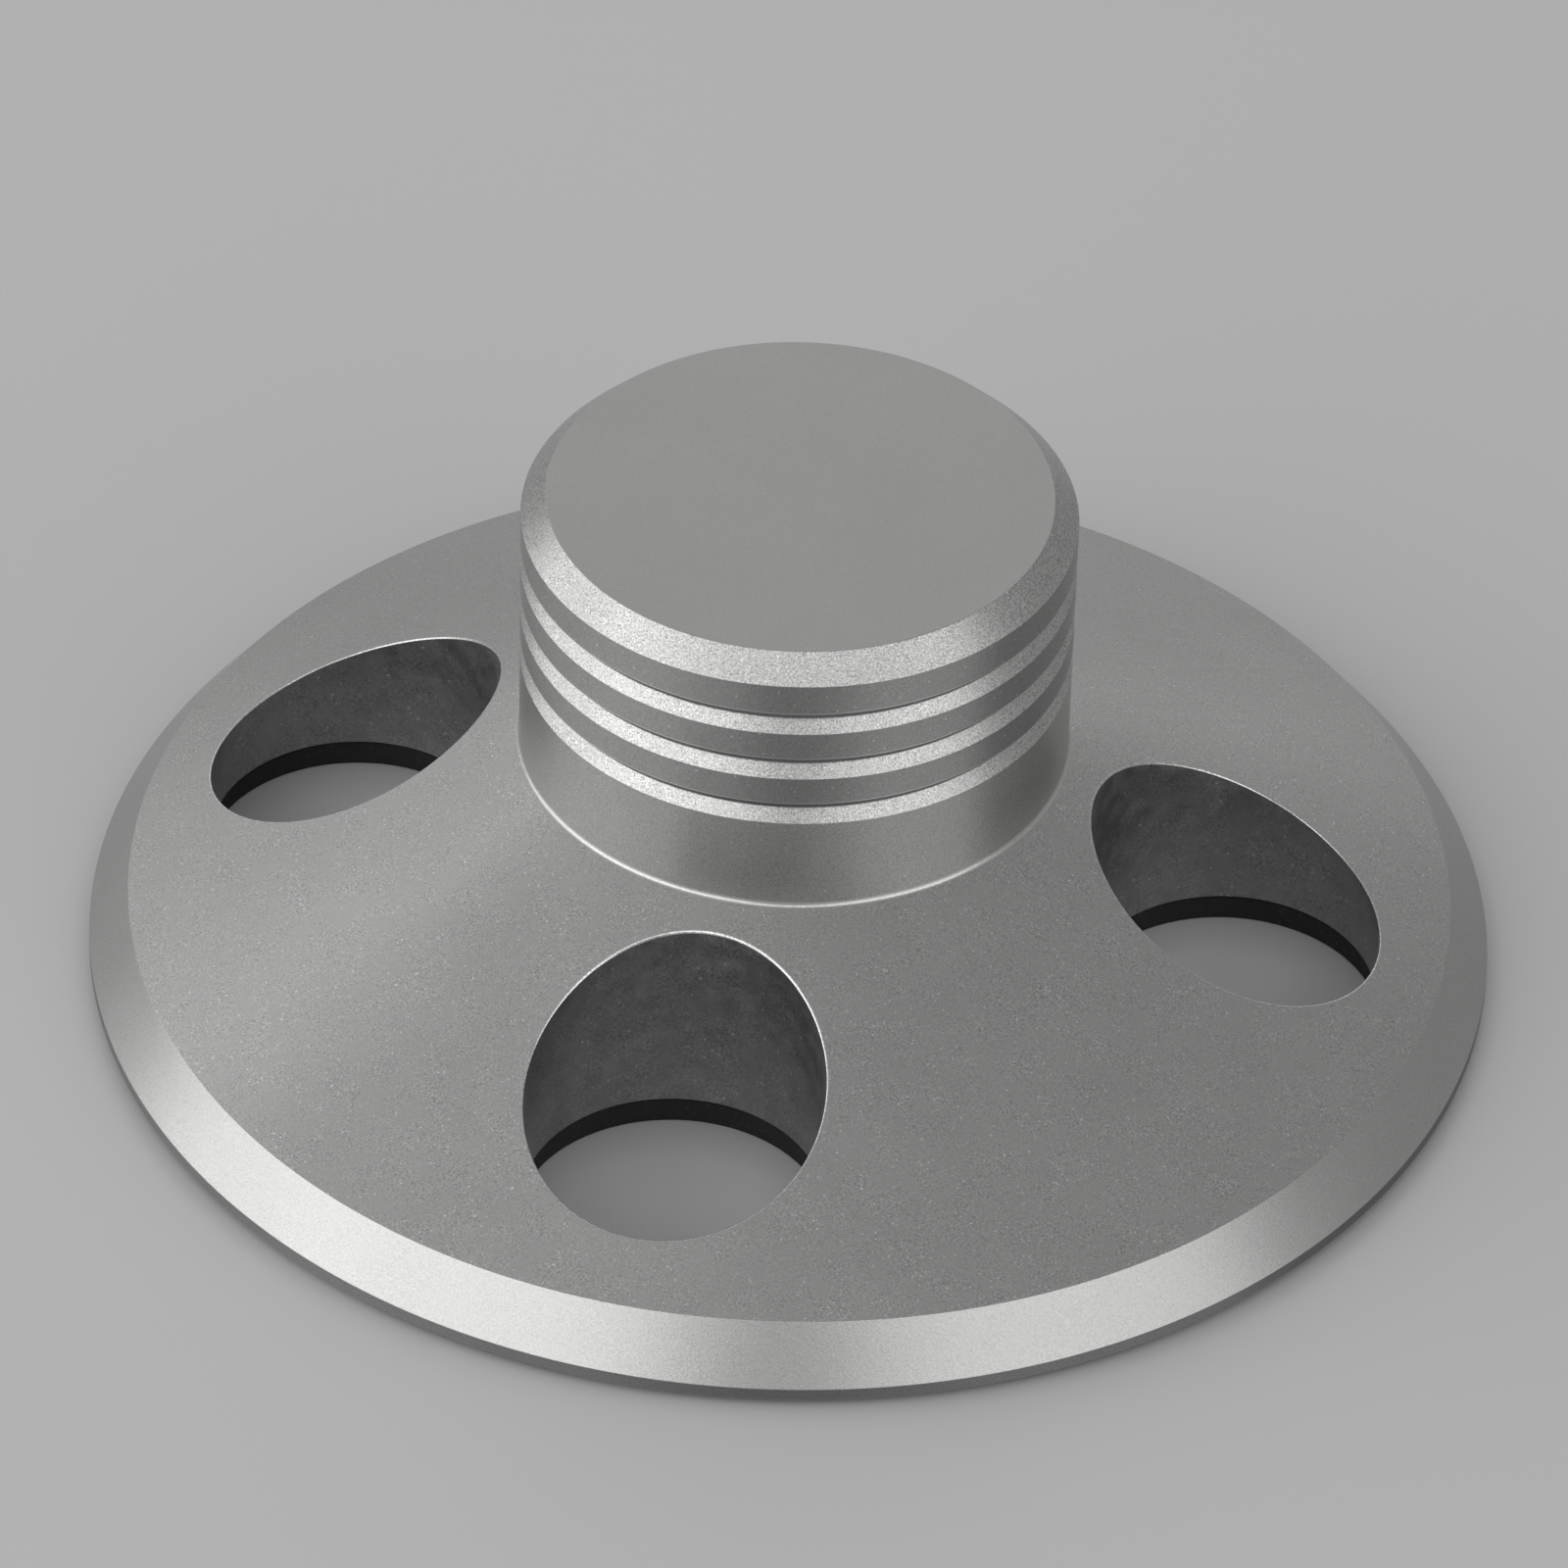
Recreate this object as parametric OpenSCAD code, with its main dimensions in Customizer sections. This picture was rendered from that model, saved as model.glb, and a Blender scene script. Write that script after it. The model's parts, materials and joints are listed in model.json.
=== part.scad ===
// Record weight: a turned disc with a grooved finger grip, on a soft black pad.
// The weight drops over the spindle of a turntable and rests on the record.
// Origin: centre of the pad's resting face. +Z runs up through the grip.

/* [Disc] */
// Outer diameter of the disc
disc_d = 80; // [62:0.5:100]
// Height of the upright wall between the rim's two bevels
rim_wall_h = 0.7; // [0.3:0.05:4]
// Width of the bevel above the rim wall, seen from above
rim_bevel_w = 2.27; // [0.5:0.01:3]
// Height of the bevel above the rim wall
rim_bevel_h = 2.9; // [0.5:0.05:5]
// Height that the cone climbs from the rim bevel to the foot of the grip
cone_rise = 10.9; // [5:0.1:14]

/* [Grip] */
// Diameter of the grip
grip_d = 31; // [24:0.5:33]
// Height of the grip above its foot
grip_h = 16.7; // [14.5:0.1:34]
// Width and height of the bevel round the top face
top_bevel = 1.38; // [0.3:0.01:3]
// Radius of the fillet where the grip meets the cone
foot_fillet = 0.3; // [0.1:0.05:0.8]

/* [Grooves] */
// Number of finger grooves
groove_count = 3; // [1:1:4]
// Distance from one groove to the next
groove_pitch = 3.13; // [2.2:0.01:3.5]
// Height of the plain band between the top bevel and the first groove
first_band_h = 2; // [0.5:0.05:3]
// Depth of a groove
groove_depth = 0.6; // [0.2:0.05:1.5]
// Height of the upright root of a groove
groove_root_h = 0.6; // [0.2:0.05:1]
// Height of the sloping flank below the root
groove_flank_h = 0.7; // [0.3:0.05:1.1]
// Width and height of the small bevel on the upper lip of a groove
groove_lip_break = 0.1; // [0.05:0.01:0.3]

/* [Openings] */
// Number of round openings through the disc
opening_count = 4; // [2:1:6]
// Metal left between the grip and each opening
opening_grip_web = 2; // [1:0.05:4]
// Metal left between each opening and the rim bevel
opening_rim_web = 3.63; // [1:0.01:5]
// Width and depth of the bevel round the upper edge of each opening
opening_bevel = 0.12; // [0.05:0.01:0.6]

/* [Underside] */
// Width of the lip that runs round the pad
lip_w = 2; // [1:0.1:3]
// Width and height of the small bevel under the rim wall
rim_break = 0.25; // [0.1:0.05:0.8]
// Depth of the recess that holds the pad
recess_depth = 1.5; // [0.5:0.1:3]
// How far the pad stands out below the lip
pad_stand = 0.4; // [0.2:0.05:2]
// Gap between the pad's edge and the lip
pad_gap = 0.2; // [0.05:0.05:0.6]
// How much wider the pad's holes are than the metal's, on each side
pad_hole_gap = 0.3; // [0:0.05:1]

/* [Spindle bore] */
// Diameter of the blind bore that fits over the spindle
bore_d = 7.4; // [7.2:0.05:12]
// Length of the bore's straight wall
bore_wall_l = 18; // [8:0.5:19]
// Bevel at the mouth of the bore
bore_bevel = 0.5; // [0.1:0.05:1.5]
// Point angle of the drilled end of the bore
drill_angle = 118; // [90:1:150]

/* [Hidden] */
$fn = 144;

// How far a cutter runs past the surface that it cuts
cut = 1;
// Steps round the bevel of an opening
bevel_steps = 72;
// Share of its own width that the bevel cutter runs past both edges
bevel_overrun = 0.5;

disc_r = disc_d / 2;
grip_r = grip_d / 2;
bore_r = bore_d / 2;

// Heights above the resting face, from the bottom up
z_lip = pad_stand;
z_recess = z_lip + recess_depth;
z_wall_low = z_lip + rim_break;
z_wall_top = z_wall_low + rim_wall_h;
z_cone_edge = z_wall_top + rim_bevel_h;
z_foot = z_cone_edge + cone_rise;
z_top = z_foot + grip_h;
z_bore_wall = z_recess + bore_bevel;
z_bore_end = z_bore_wall + bore_wall_l;

// The cone runs straight from the rim bevel to the grip
cone_edge_r = disc_r - rim_bevel_w;
cone_slope = cone_rise / (cone_edge_r - grip_r);
cone_angle = atan(cone_slope);

// Each opening fills the cone between its two webs
opening_r = (cone_edge_r - opening_rim_web - grip_r - opening_grip_web) / 2;
opening_circle_r = grip_r + opening_grip_web + opening_r;

recess_r = disc_r - lip_w;
pad_r = recess_r - pad_gap;
pad_opening_r = opening_r + pad_hole_gap;
pad_bore_r = bore_r + bore_bevel + pad_hole_gap;
drill_tip_h = bore_r / tan(drill_angle / 2);

// Centre of the fillet's arc, one radius from the grip's wall and from the cone
fillet_centre = [
    grip_r + foot_fillet,
    z_foot + foot_fillet * (1 / cos(cone_angle) - cone_slope)
];

// Height of the cone's surface at a distance from the axis
function cone_z(r) = z_foot - cone_slope * (r - grip_r);

// Points of one groove on the grip's outline, from its lower edge up
function groove_points(upper_z) = [
    [grip_r, upper_z - groove_root_h - groove_flank_h],
    [grip_r - groove_depth, upper_z - groove_root_h],
    [grip_r - groove_depth, upper_z],
    [grip_r - groove_lip_break, upper_z],
    [grip_r, upper_z + groove_lip_break]
];

// Height of a groove's upper edge, counted from the top one
function groove_z(i) = z_top - top_bevel - first_band_h - i * groove_pitch;

// Half outline of the metal, from the recess round the rim to the top face. At the grip's
// foot it steps out to the centre of the fillet, which body_section() then cuts round.
function body_outline() = concat(
    [
        [0, z_recess],
        [recess_r, z_recess],
        [recess_r, z_lip],
        [disc_r - rim_break, z_lip],
        [disc_r, z_wall_low],
        [disc_r, z_wall_top],
        [cone_edge_r, z_cone_edge],
        fillet_centre - foot_fillet * [sin(cone_angle), cos(cone_angle)],
        fillet_centre,
        fillet_centre - foot_fillet * [1, 0]
    ],
    [for (i = [groove_count - 1 : -1 : 0]) each groove_points(groove_z(i))],
    [
        [grip_r, z_top - top_bevel],
        [grip_r - top_bevel, z_top],
        [0, z_top]
    ]
);

// Outline of the metal with its corner at the grip's foot rounded
module body_section() {
    difference() {
        polygon(body_outline());
        translate(fillet_centre) circle(r = foot_fillet);
    }
}

// Places its children at the centre of each opening
module at_openings() {
    for (i = [0 : opening_count - 1])
        rotate(i * 360 / opening_count)
            translate([opening_circle_r, 0, 0])
                children();
}

// Section of the bevel cutter at one angle round an opening. Its lower side runs from the
// opening's wall to the cone, so the bevel keeps its width as the edge climbs and falls.
function bevel_section(angle) =
    let (
        wall_z = opening_z(angle, opening_r) - opening_bevel,
        face_z = opening_z(angle, opening_r + opening_bevel),
        rise = face_z - wall_z,
        inner = [opening_r - bevel_overrun * opening_bevel, wall_z - bevel_overrun * rise],
        outer = [opening_r + (1 + bevel_overrun) * opening_bevel, face_z + bevel_overrun * rise]
    )
    [inner, outer, outer + [0, cut], inner + [0, cut]];

// Height of the cone at a distance from the opening's own centre, in one direction
function opening_z(angle, distance) =
    cone_z(norm([opening_circle_r + distance * cos(angle), distance * sin(angle)]));

// Ring with the bevel's section, closed on itself, round the opening's own axis
module bevel_cutter() {
    points = [
        for (i = [0 : bevel_steps - 1], p = bevel_section(i * 360 / bevel_steps))
            let (angle = i * 360 / bevel_steps)
                [p[0] * cos(angle), p[0] * sin(angle), p[1]]
    ];
    corners = len(bevel_section(0));
    faces = [
        for (i = [0 : bevel_steps - 1], j = [0 : corners - 1])
            let (
                next_i = (i + 1) % bevel_steps,
                next_j = (j + 1) % corners,
                a = i * corners + j,
                b = i * corners + next_j,
                c = next_i * corners + next_j,
                d = next_i * corners + j
            )
            each [[a, b, c], [a, c, d]]
    ];
    polyhedron(points = points, faces = faces, convexity = 4);
}

// Straight opening and the bevel round its upper edge
module opening_cutter() {
    translate([0, 0, -cut]) cylinder(r = opening_r, h = z_foot + 2 * cut);
    bevel_cutter();
}

// Blind bore with a bevelled mouth and a drilled end
module spindle_bore() {
    translate([0, 0, z_recess - cut])
        cylinder(r1 = bore_r + bore_bevel + cut, r2 = bore_r, h = bore_bevel + cut);
    translate([0, 0, z_recess - cut]) cylinder(r = bore_r, h = z_bore_end - z_recess + cut);
    translate([0, 0, z_bore_end]) cylinder(r1 = bore_r, r2 = 0, h = drill_tip_h);
}

// Disc and grip, turned from one piece of metal
module weight_body() {
    color([0.74, 0.74, 0.72])
        difference() {
            rotate_extrude() body_section();
            at_openings() opening_cutter();
            spindle_bore();
        }
}

// Soft pad in the recess, with holes in line with the metal's
module base_pad() {
    color([0.07, 0.07, 0.07])
        difference() {
            cylinder(r = pad_r, h = z_recess);
            at_openings() translate([0, 0, -cut]) cylinder(r = pad_opening_r, h = z_recess + 2 * cut);
            translate([0, 0, -cut]) cylinder(r = pad_bore_r, h = z_recess + 2 * cut);
        }
}

weight_body();
base_pad();
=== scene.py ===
"""Record weight, dressed for its render: one turned piece of satin metal on a black pad.

The metal is one closed mesh. Its turned faces are a profile carried round the axis, its cone
and its underside are rings pierced by the round openings, and each opening's wall is a profile
carried along the edge that the opening cuts into the cone. The pad is built the same way.
"""

import json
import logging
import math
from dataclasses import dataclass
from enum import IntEnum
from functools import partial

import bmesh
import bpy
import numpy as np
from mathutils import Matrix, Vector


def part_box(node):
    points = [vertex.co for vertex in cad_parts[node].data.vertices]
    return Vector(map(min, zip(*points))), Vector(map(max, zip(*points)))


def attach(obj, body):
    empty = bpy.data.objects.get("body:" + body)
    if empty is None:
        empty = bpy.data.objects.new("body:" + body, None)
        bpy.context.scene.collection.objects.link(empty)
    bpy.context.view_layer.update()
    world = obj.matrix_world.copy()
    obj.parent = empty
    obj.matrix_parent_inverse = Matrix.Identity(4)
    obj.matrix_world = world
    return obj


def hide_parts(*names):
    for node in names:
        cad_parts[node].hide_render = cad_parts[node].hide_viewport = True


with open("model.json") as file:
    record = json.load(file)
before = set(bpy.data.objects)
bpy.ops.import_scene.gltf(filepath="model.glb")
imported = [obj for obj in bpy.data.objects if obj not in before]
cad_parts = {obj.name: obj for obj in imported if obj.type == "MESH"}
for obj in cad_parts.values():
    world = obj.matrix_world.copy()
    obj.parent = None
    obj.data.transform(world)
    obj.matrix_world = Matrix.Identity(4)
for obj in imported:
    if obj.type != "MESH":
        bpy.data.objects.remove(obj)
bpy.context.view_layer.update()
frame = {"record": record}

MM = 0.001
# Point attribute of painted light: highlight on edges above 0, shade in hollows below 0
PAINTED_LIGHT_ATTRIBUTE = "painted_light"
# Painted light of the most highlighted edge and of the most shaded hollow
BRIGHT = 1.0
SHADED = -1.0
# Zone of a piece that has one finish
PLAIN_ZONE = 0
MERGE_DISTANCE = 1e-6

# Middle of a noise, and how far from it a patch or a cloud reaches its full amount
NOISE_MIDDLE = 0.5
PATCH_REACH = 0.2
CLOUD_REACH = 0.25
# Share of the colour that painted shade takes away in a hollow at -1
HOLLOW_SHADE = 0.5
QUARTER_TURN = 0.25
# Places of the Mix node's two inputs and its output for each kind, which share their names
MIX_PLACES = {"FLOAT": (2, 3, 0), "RGBA": (6, 7, 2)}
SOCKET_KINDS = {
    "Vector": "NodeSocketVector",
    "Color": "NodeSocketColor",
    "Edge Highlight Color": "NodeSocketColor",
}

Array = np.ndarray
Color = tuple[float, float, float]
Look = dict[str, object]
Material = bpy.types.Material
Object = bpy.types.Object
Socket = bpy.types.NodeSocket
Tree = bpy.types.NodeTree

log = logging.getLogger("record_weight")


class Zone(IntEnum):
    """Faces that take a finish of their own. Each value is a place in the material list."""

    CONE = 0
    TOP = 1
    BEVEL = 2
    RIM_BEVEL = 3
    BAND = 4
    RIM_WALL = 5
    WALL = 6
    UNDERSIDE = 7
    OPENING_EDGE = 8
    GROOVE = 9
    FOOT_BAND = 10


@dataclass(frozen=True)
class Surface:
    """A piece of mesh: its points, its four-sided faces, its painted light and each face's zone.

    Args:
        points: One row of x, y and z for each point, in metres.
        faces: Four point numbers for each face, anticlockwise as seen from outside.
        painted_light: Painted light at each point, up to 1 for a painted highlight on an edge
        and down to -1 for painted shade in a hollow, with 0 on the plain faces.
        zone: The zone of each face.
    """

    points: Array
    faces: Array
    painted_light: Array
    zone: Array


def grid_surface(points: Array, painted_light: Array, zone: Array) -> Surface:
    """Surface over a grid of points whose rows are closed rings.

    A face joins point (i, k) to (i, k+1), (i+1, k+1) and (i+1, k), and the first point of a
    row follows its last.

    Args:
        points: Grid of points, rows by columns by 3.
        painted_light: Painted light of each row, a highlight above 0 and shade below 0.
        zone: Zone of each strip between two rows.

    Returns:
        The surface.
    """
    rows, columns = points.shape[:2]
    i = np.arange(rows - 1)[:, None] * columns
    k = np.arange(columns)[None, :]
    after = (k + 1) % columns
    corners = (i + k, i + after, i + columns + after, i + columns + k)
    faces = np.stack(corners, axis=-1).reshape(-1, 4)
    return Surface(points.reshape(-1, 3), faces, np.repeat(painted_light, columns), np.repeat(zone, columns))


def circles(centre_x: float, radius: Array, angles: Array) -> Array:
    """Grid of x and y on circles round one centre on the X axis.

    Each point is the centre plus the radius times (cos a, sin a).

    Args:
        centre_x: Place of the centre on the X axis.
        radius: Radius of each row.
        angles: Angle of each column.

    Returns:
        Grid of x and y, rows by columns by 2.
    """
    spokes = np.stack([np.cos(angles), np.sin(angles)], axis=-1)
    return np.array([centre_x, 0.0]) + np.multiply.outer(radius, spokes)


def lifted(flat: Array, height: Array | float) -> Array:
    """Grid of points over a grid of x and y, at heights that fit the grid or one height."""
    z = np.broadcast_to(height, flat.shape[:2])
    return np.concatenate([flat, z[..., None]], axis=-1)


def joined_mesh(name: str, surfaces: list[Surface]) -> bpy.types.Mesh:
    """Mesh of several surfaces, closed where their borders meet.

    Points closer together than the merge distance become one, which closes seams and poles.

    Args:
        name: Name of the mesh.
        surfaces: The surfaces, in the row frame.

    Returns:
        The mesh, shaded smooth, with the painted light as a point attribute.
    """
    starts = np.cumsum([0] + [len(s.points) for s in surfaces[:-1]])
    points = np.concatenate([s.points for s in surfaces])
    faces = np.concatenate([s.faces + start for s, start in zip(surfaces, starts)])
    zones = np.concatenate([s.zone for s in surfaces]).astype(np.int32)
    painted_light = np.concatenate([s.painted_light for s in surfaces]).astype(np.float32)
    mesh = bpy.data.meshes.new(name)
    mesh.from_pydata(points.tolist(), [], faces.tolist())
    mesh.polygons.foreach_set("material_index", zones)
    mesh.polygons.foreach_set("use_smooth", np.ones(len(faces), dtype=bool))
    mesh.attributes.new(PAINTED_LIGHT_ATTRIBUTE, "FLOAT", "POINT").data.foreach_set("value", painted_light)
    work = bmesh.new()
    work.from_mesh(mesh)
    bmesh.ops.remove_doubles(work, verts=work.verts, dist=MERGE_DISTANCE)
    work.to_mesh(mesh)
    work.free()
    mesh.update()
    return mesh


@dataclass(frozen=True)
class Profile:
    """Half outline of a turned shape, with its corners rounded.

    Args:
        corners: One row of radius and height for each corner, with the material on the left.
        rounding: Radius of each corner's arc. The two ends take 0.
        painted_light: Painted light of each corner, a highlight above 0 and shade below 0.
        zone: Zone of each span from one corner to the next.
        arc_steps: Number of steps in each arc.
        support: Distance past an arc at which one more point holds the flat span flat.
    """

    corners: Array
    rounding: Array
    painted_light: Array
    zone: Array
    arc_steps: int = 4
    support: float = 0.04 * MM

    def rounded(self) -> tuple[Array, Array, Array]:
        """Points of the outline, their wear and the zone of each step.

        At a corner that turns by an angle, the arc starts a tangent length, which is the
        radius times the tangent of half the angle, before the corner. The arc is the line
        from its centre to that start, turned in even steps until it has turned by the angle.
        A corner's painted light ends with its arc, but the straight between two shaded corners
        is shaded.

        Returns:
            Points as radius and height, painted light, and zone of each step.
        """
        inner = self.corners[1:-1]
        before = inner - self.corners[:-2]
        after = self.corners[2:] - inner
        before /= np.linalg.norm(before, axis=1, keepdims=True)
        after /= np.linalg.norm(after, axis=1, keepdims=True)
        turn = np.arctan2(
            before[:, 0] * after[:, 1] - before[:, 1] * after[:, 0], (before * after).sum(axis=1)
        )
        radius = self.rounding[1:-1]
        tangent = radius * np.tan(np.abs(turn) / 2)
        start = inner - before * tangent[:, None]
        side = np.sign(turn)[:, None] * np.stack([-before[:, 1], before[:, 0]], axis=1)
        centre = start + side * radius[:, None]
        angle = turn[:, None] * np.linspace(0, 1, self.arc_steps + 1)[None, :]
        arm = -side * radius[:, None]
        arc = centre[:, None, :] + np.stack(
            [
                arm[:, :1] * np.cos(angle) - arm[:, 1:] * np.sin(angle),
                arm[:, :1] * np.sin(angle) + arm[:, 1:] * np.cos(angle),
            ],
            axis=-1,
        )
        lead = arc[:, :1] - before[:, None, :] * self.support
        tail = arc[:, -1:] + after[:, None, :] * self.support
        bends = np.concatenate([lead, arc, tail], axis=1)
        points = np.concatenate([self.corners[:1], bends.reshape(-1, 2), self.corners[-1:]])
        per_bend = bends.shape[1]
        painted_light = np.repeat(self.painted_light[1:-1, None], per_bend, axis=1).astype(float)
        straight = np.maximum(np.minimum(self.painted_light[:-1], 0), np.minimum(self.painted_light[1:], 0))
        painted_light[:, 0], painted_light[:, -1] = straight[:-1], straight[1:]
        zone = np.concatenate(
            [np.repeat(self.zone[:1], per_bend // 2 + 1), np.repeat(self.zone[1:], per_bend)]
        )
        return points, np.concatenate([[0], painted_light.ravel(), [0]]), zone[: len(points) - 1]

    def turned(self, segments: int) -> Surface:
        """Surface that the outline sweeps round the Z axis.

        Each point is (radius cos a, radius sin a, height), with the angle a in even steps.

        Args:
            segments: Number of steps in a full turn.

        Returns:
            The surface, with outward faces.
        """
        outline, painted_light, zone = self.rounded()
        angles = np.arange(segments) * (2 * np.pi / segments)
        flat = circles(0.0, outline[:, 0], angles)
        return grid_surface(lifted(flat, outline[:, 1:]), painted_light, zone)


@dataclass(frozen=True)
class PiercedRing:
    """Flat or conical ring round the Z axis, pierced by round openings.

    Args:
        inner_r: Radius of the inner border.
        outer_r: Radius of the outer border.
        opening_r: Radius of each opening.
        circle_r: Radius of the circle on which the openings are centred.
        count: Number of openings.
        segments: Number of steps in a full turn at both borders.
        side_steps: Number of steps along the line that parts two openings.
    """

    inner_r: float
    outer_r: float
    opening_r: float
    circle_r: float
    count: int
    segments: int
    side_steps: int = 20

    def border(self) -> Array:
        """Border of the first opening's sector, as points in the plane.

        It runs along the outer arc, down the line to the left, back along the inner arc and
        up the line to the right, so it goes anticlockwise round the opening.

        Returns:
            One row of x and y for each point.
        """
        half = np.pi / self.count
        steps = self.segments // self.count
        across = np.linspace(-half, half, steps + 1)
        along = np.linspace(self.outer_r, self.inner_r, self.side_steps + 1)[:-1]
        back = along[::-1] - (self.outer_r - self.inner_r) / self.side_steps
        outer, inner = np.full(steps, self.outer_r), np.full(steps, self.inner_r)
        radius = np.concatenate([outer, along, inner, back])
        side = np.full(self.side_steps, half)
        angle = np.concatenate([across[:-1], side, across[::-1][:-1], -side])
        return np.stack([radius * np.cos(angle), radius * np.sin(angle)], axis=-1)

    def ray_angles(self) -> Array:
        """Angle at which each border point is seen from the centre of the opening."""
        seen = self.border() - np.array([self.circle_r, 0.0])
        return np.arctan2(seen[:, 1], seen[:, 0])

    def sector(self, angles: Array, rows: int) -> Array:
        """Points between the first opening's edge and its sector's border.

        Point (t, j) lies on the straight line from the edge point at angle j to border point
        j, a share t of the way.

        Args:
            angles: Angle of each edge point round the opening.
            rows: Number of steps from the edge to the border.

        Returns:
            Grid of x and y, from the edge to the border.
        """
        rim = circles(self.circle_r, np.array([self.opening_r]), angles)
        share = np.linspace(0, 1, rows + 1)[:, None, None]
        return rim + (self.border() - rim) * share

    def spread(self, points: Array, flip: bool, zone: Array | int) -> list[Surface]:
        """The same plain patch at every opening, turned about the Z axis.

        Args:
            points: Grid of points of the first opening's patch.
            flip: Whether the grid's rows are reversed, which turns its faces round.
            zone: Zone of each strip, or of them all.

        Returns:
            One surface for each opening.
        """
        painted_light = np.zeros(len(points))
        zone = np.broadcast_to(zone, len(points) - 1)
        if flip:
            points, zone = points[::-1], zone[::-1]
        surfaces = []
        for turn in np.arange(self.count) * (2 * np.pi / self.count):
            cosine, sine = np.cos(turn), np.sin(turn)
            matrix = np.array([[cosine, -sine, 0.0], [sine, cosine, 0.0], [0.0, 0.0, 1.0]])
            surfaces.append(grid_surface(points @ matrix.T, painted_light, zone))
        return surfaces


@dataclass
class WeightBody:
    """Disc and finger grip, turned from one piece of metal.

    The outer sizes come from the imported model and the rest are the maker's own sizes.
    """

    rim_break: float = 0.25 * MM
    rim_wall_h: float = 0.7 * MM
    rim_bevel_w: float = 2.27 * MM
    rim_bevel_h: float = 2.9 * MM
    cone_rise: float = 10.9 * MM
    grip_r: float = 15.5 * MM
    top_bevel: float = 1.38 * MM
    foot_fillet: float = 0.3 * MM
    groove_count: int = 3
    groove_pitch: float = 3.13 * MM
    first_band_h: float = 2.0 * MM
    groove_depth: float = 0.6 * MM
    groove_root_h: float = 0.6 * MM
    groove_flank_h: float = 0.7 * MM
    groove_lip_break: float = 0.1 * MM
    opening_rim_web: float = 3.63 * MM
    opening_bevel: float = 0.12 * MM
    lip_w: float = 2.0 * MM
    bore_bevel: float = 0.5 * MM
    drill_angle: float = math.radians(118)
    edge_rounding: float = 0.05 * MM
    lip_rounding: float = 0.1 * MM
    # Painted highlight on the foot fillet, on the lip's corners and on the top of the rim's wall
    foot_highlight: float = 0.45
    lip_highlight: float = 0.2
    rim_edge_highlight: float = 0.1
    support: float = 0.03 * MM
    seam_margin: float = 0.6 * MM
    segments: int = 256
    cone_steps: int = 12
    edge_steps: int = 6
    wall_steps: int = 8
    ceiling_steps: int = 4

    def __post_init__(self) -> None:
        """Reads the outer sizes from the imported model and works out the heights."""
        low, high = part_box("weight_body")
        self.disc_r = high.x
        self.z_lip = low.z
        self.z_top = high.z
        self.z_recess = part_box("base_pad")[1].z
        boxes = np.array([o["box_m"] for o in frame["record"]["physics"]["openings"]])
        middles = boxes.mean(axis=1)
        self.circle_r = float(np.hypot(middles[:, 0], middles[:, 1]).mean())
        self.opening_count = len(boxes)
        bore = next(m for m in frame["record"]["mounts"] if m["name"] == "spindle_bore")
        self.bore_r = bore["dims"]["r_mm"] * MM
        self.mouth_r = self.bore_r + self.bore_bevel
        self.z_bore_wall = self.z_recess + self.bore_bevel
        self.z_bore_end = self.z_bore_wall + bore["dims"]["length_mm"] * MM
        self.recess_r = self.disc_r - self.lip_w
        self.z_wall_low = self.z_lip + self.rim_break
        self.z_wall_top = self.z_wall_low + self.rim_wall_h
        self.z_cone_edge = self.z_wall_top + self.rim_bevel_h
        self.z_foot = self.z_cone_edge + self.cone_rise
        self.cone_edge_r = self.disc_r - self.rim_bevel_w
        self.slope = self.cone_rise / (self.cone_edge_r - self.grip_r)
        self.opening_r = self.cone_edge_r - self.opening_rim_web - self.circle_r

    def cone_z(self, radius: Array | float) -> Array | float:
        """Height of the cone, which falls in a straight line from the foot of the grip."""
        return self.z_foot - self.slope * (radius - self.grip_r)

    def bore_profile(self) -> Profile:
        """Outline from the drilled tip of the bore, down its wall and out to the recess.

        Returns:
            The outline.
        """
        tip = self.z_bore_end + self.bore_r / math.tan(self.drill_angle / 2)
        corners = [
            [0, tip],
            [self.bore_r, self.z_bore_end],
            [self.bore_r, self.z_bore_wall],
            [self.mouth_r, self.z_recess],
            [self.mouth_r + self.seam_margin, self.z_recess],
        ]
        rounding = np.array([0] + [self.edge_rounding] * (len(corners) - 2) + [0])
        zone = np.full(len(corners) - 1, Zone.UNDERSIDE)
        return Profile(np.array(corners), rounding, np.zeros(len(corners)), zone)

    def rim_profile(self) -> Profile:
        """Outline from the recess, under the lip, up the rim and on to the cone.

        Returns:
            The outline.
        """
        cone_r = self.cone_edge_r - self.seam_margin
        corners = [
            [self.recess_r - self.seam_margin, self.z_recess],
            [self.recess_r, self.z_recess],
            [self.recess_r, self.z_lip],
            [self.disc_r - self.rim_break, self.z_lip],
            [self.disc_r, self.z_wall_low],
            [self.disc_r, self.z_wall_top],
            [self.cone_edge_r, self.z_cone_edge],
            [cone_r, self.cone_z(cone_r)],
        ]
        rounding = [0] + [self.edge_rounding] * (len(corners) - 2) + [0]
        # Painted highlight on the lip's corners and on the top of the rim's wall
        painted_light = [0.0, 0.0] + [self.lip_highlight] * 3 + [self.rim_edge_highlight, 0.0, 0.0]
        zone = [Zone.UNDERSIDE] * 3 + [Zone.RIM_WALL] * 2 + [Zone.RIM_BEVEL, Zone.CONE]
        return Profile(np.array(corners), np.array(rounding), np.array(painted_light), np.array(zone))

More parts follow.
